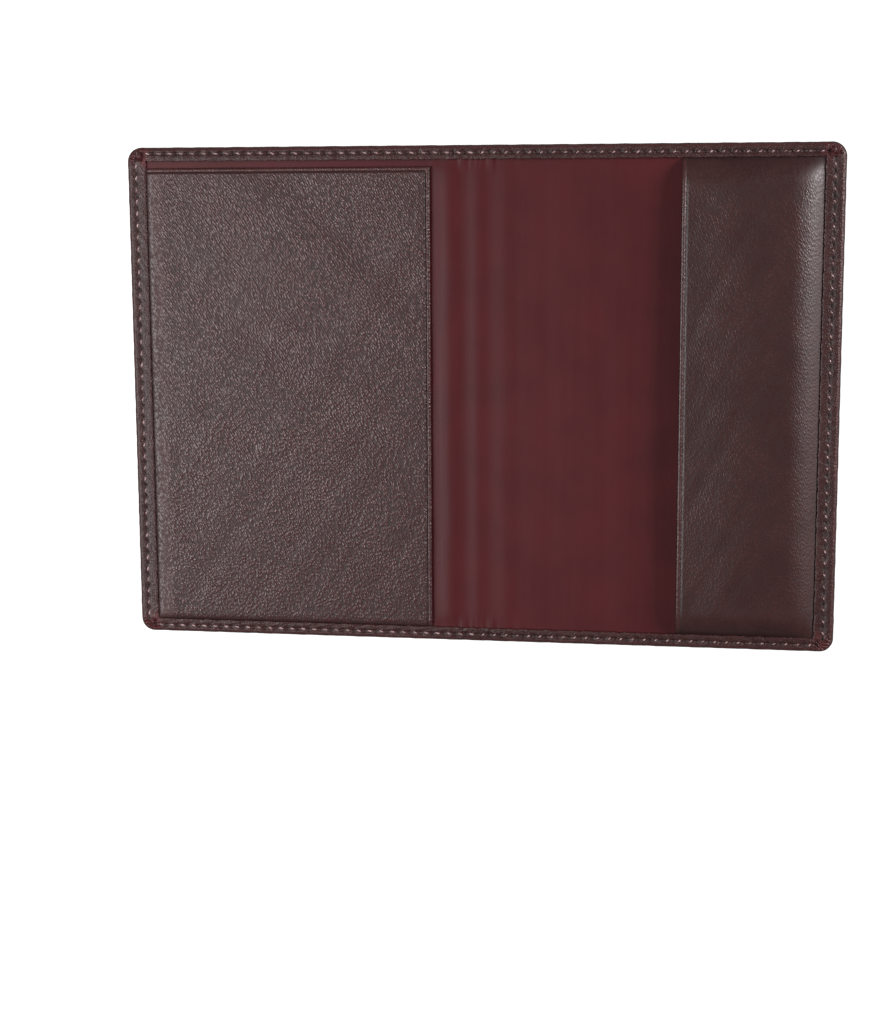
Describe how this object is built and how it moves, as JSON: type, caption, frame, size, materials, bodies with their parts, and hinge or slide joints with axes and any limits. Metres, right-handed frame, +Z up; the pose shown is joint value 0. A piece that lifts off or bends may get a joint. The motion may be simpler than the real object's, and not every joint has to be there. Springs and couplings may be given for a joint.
{
  "type": "travel document organizer",
  "caption": "Stitched leather bifold cover for travel papers: a passport sleeve inside the back cover, a ticket pocket inside the front cover, and a pressed ornament outside.",
  "frame": {"origin": "middle of the spine, on the surface that the open cover lies on", "axes": "+Z up out of the inside faces, +Y to the head edge, +X to the back cover's fore-edge"},
  "size_m": [0.2, 0.14, 0.0069],
  "materials": {
    "cover_leather": "satin, fine-grained nappa, dark burgundy brown",
    "sleeve_leather": "satin, pebbled nappa, dark burgundy brown",
    "lining_leather": "smooth matte, burgundy",
    "stiffener_board": "matte grey board",
    "seam_thread": "bonded polyester thread, slight sheen, burgundy"
  },
  "bodies": {
    "back_cover": {"outer_back": "cover_leather", "board_back": "stiffener_board", "lining_back": "lining_leather", "turned_edge_back": "cover_leather", "passport_sleeve": "sleeve_leather", "needle_thread_back": "seam_thread", "bobbin_thread_back": "seam_thread"},
    "spine": {"outer_spine": "cover_leather", "spine_stay": "stiffener_board", "lining_spine": "lining_leather", "turned_edge_spine": "cover_leather", "needle_thread_spine": "seam_thread", "bobbin_thread_spine": "seam_thread"},
    "front_cover": {"outer_front": "cover_leather", "board_front": "stiffener_board", "lining_front": "lining_leather", "turned_edge_front": "cover_leather", "ticket_pocket": "sleeve_leather", "needle_thread_front": "seam_thread", "bobbin_thread_front": "seam_thread"}
  },
  "joints": [
    {"name": "back_fold", "type": "hinge", "parent": "back_cover", "child": "spine", "pos_m": [0.0038, 0, 0.0017], "axis": [0, 1, 0], "range_deg": [0, 90]},
    {"name": "front_fold", "type": "hinge", "parent": "spine", "child": "front_cover", "pos_m": [-0.0038, 0, 0.0017], "axis": [0, 1, 0], "range_deg": [0, 90]}
  ]
}
